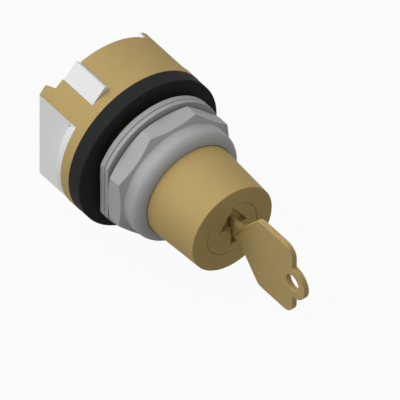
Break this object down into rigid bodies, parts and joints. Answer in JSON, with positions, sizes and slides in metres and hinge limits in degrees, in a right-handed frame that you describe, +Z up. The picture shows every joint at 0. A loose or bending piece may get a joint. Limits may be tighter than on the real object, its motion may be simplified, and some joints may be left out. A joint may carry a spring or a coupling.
{
  "type": "key-operated selector switch",
  "caption": "Key-operated selector switch operator for a round panel hole, with its key in the centre position and no contact blocks fitted.",
  "frame": {"origin": "on the switch's axis, in the plane where the gasket meets the panel's rear face", "axes": "+Y along the axis towards the rear, away from the user; +Z up, with the arrow in the centre position; +X to the user's right"},
  "size_m": [0.0412, 0.0805, 0.0416],
  "materials": {
    "passivated_brass": "yellow-passivated die casting, satin",
    "key_brass": "stamped brass, satin",
    "bright_steel": "zinc plated, satin",
    "spring_steel": "spring wire and strip",
    "white_nylon": "moulded, satin",
    "black_rubber": "moulded, matt",
    "black_nylon": "moulded, satin"
  },
  "bodies": {
    "mounted": {"housing": "passivated_brass", "cam_housing": "white_nylon", "panel_gasket": "black_rubber", "rear_washer": "bright_steel", "front_washer": "bright_steel", "ring_nut": "bright_steel", "lock_barrel": "passivated_brass", "barrel_seal": "black_rubber", "shaft_seal": "black_rubber", "detent_spring_top": "spring_steel", "detent_spring_bottom": "spring_steel", "plunger_spring_left": "spring_steel", "plunger_spring_right": "spring_steel", "housing_screw_upper": "bright_steel", "housing_screw_lower": "bright_steel"},
    "rotor": {"lock_plug": "passivated_brass", "plug_clip": "spring_steel", "drive_shaft": "bright_steel", "rotary_cam": "black_nylon", "wafer_spring_1": "spring_steel", "wafer_spring_2": "spring_steel", "wafer_spring_3": "spring_steel", "wafer_spring_4": "spring_steel", "wafer_spring_5": "spring_steel"},
    "key": {"key": "key_brass"},
    "wafer_1": {"wafer_1": "key_brass"},
    "wafer_2": {"wafer_2": "key_brass"},
    "wafer_3": {"wafer_3": "key_brass"},
    "wafer_4": {"wafer_4": "key_brass"},
    "wafer_5": {"wafer_5": "key_brass"},
    "plunger_left": {"plunger_left": "black_nylon"},
    "plunger_right": {"plunger_right": "black_nylon"}
  },
  "joints": [
    {"name": "plug_turn", "type": "hinge", "parent": "mounted", "child": "rotor", "pos_m": [0, 0, 0], "axis": [0, 1, 0], "range_deg": [-45, 45], "deforming": ["detent_spring_top", "detent_spring_bottom"]},
    {"name": "key_withdraw", "type": "slide", "parent": "rotor", "child": "key", "axis": [0, -1, 0], "range_m": [0, 0.024]},
    {"name": "wafer_1_drop", "type": "slide", "parent": "rotor", "child": "wafer_1", "axis": [0, 0, -1], "range_m": [0, 0.0009], "deforming": ["wafer_spring_1"]},
    {"name": "wafer_2_drop", "type": "slide", "parent": "rotor", "child": "wafer_2", "axis": [0, 0, -1], "range_m": [0, 0.0009], "deforming": ["wafer_spring_2"]},
    {"name": "wafer_3_drop", "type": "slide", "parent": "rotor", "child": "wafer_3", "axis": [0, 0, -1], "range_m": [0, 0.0009], "deforming": ["wafer_spring_3"]},
    {"name": "wafer_4_drop", "type": "slide", "parent": "rotor", "child": "wafer_4", "axis": [0, 0, -1], "range_m": [0, 0.0009], "deforming": ["wafer_spring_4"]},
    {"name": "wafer_5_drop", "type": "slide", "parent": "rotor", "child": "wafer_5", "axis": [0, 0, -1], "range_m": [0, 0.0009], "deforming": ["wafer_spring_5"]},
    {"name": "plunger_left_travel", "type": "slide", "parent": "mounted", "child": "plunger_left", "axis": [0, 1, 0], "range_m": [-0.00125, 0.00125], "deforming": ["plunger_spring_left"]},
    {"name": "plunger_right_travel", "type": "slide", "parent": "mounted", "child": "plunger_right", "axis": [0, 1, 0], "range_m": [-0.00125, 0.00125], "deforming": ["plunger_spring_right"]}
  ],
  "couplings": [
    {"joint": "wafer_1_drop", "follows": "key_withdraw", "ratio": 0.0375},
    {"joint": "wafer_2_drop", "follows": "key_withdraw", "ratio": 0.0375},
    {"joint": "wafer_3_drop", "follows": "key_withdraw", "ratio": 0.0375},
    {"joint": "wafer_4_drop", "follows": "key_withdraw", "ratio": 0.0375},
    {"joint": "wafer_5_drop", "follows": "key_withdraw", "ratio": 0.0375},
    {"joint": "plunger_left_travel", "follows": "plug_turn", "m_per_rad": -0.0015915},
    {"joint": "plunger_right_travel", "follows": "plug_turn", "m_per_rad": 0.0015915}
  ]
}
